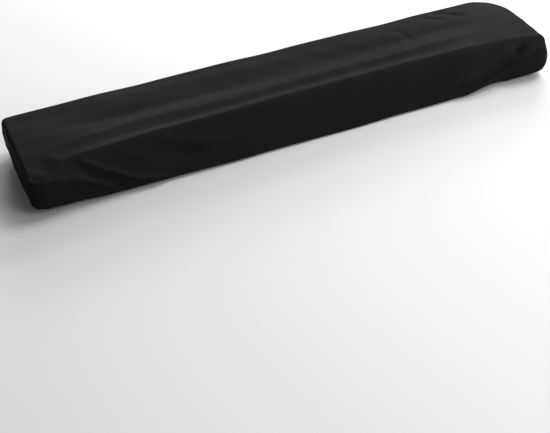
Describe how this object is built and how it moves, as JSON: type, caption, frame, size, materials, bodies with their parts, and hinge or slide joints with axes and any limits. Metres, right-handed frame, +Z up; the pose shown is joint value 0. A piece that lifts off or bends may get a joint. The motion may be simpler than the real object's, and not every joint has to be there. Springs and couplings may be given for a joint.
{
  "type": "piano cover",
  "caption": "Fitted stretch cloth cover for a long digital piano: hollow, open underneath, with a gathered hem drawn under and drag folds at the front corners.",
  "frame": {"origin": "under the middle of the top, on the inner face of the cloth, where the cover rests on what it covers", "axes": "+X along the length, to the right as seen from the front, +Y to the back, +Z up"},
  "size_m": [1.3581, 0.2746, 0.1092],
  "materials": {
    "black_stretch_cloth": "matt black knitted stretch cloth with a faint sheen"
  },
  "bodies": {
    "root": {"cover": "black_stretch_cloth"}
  },
  "joints": []
}
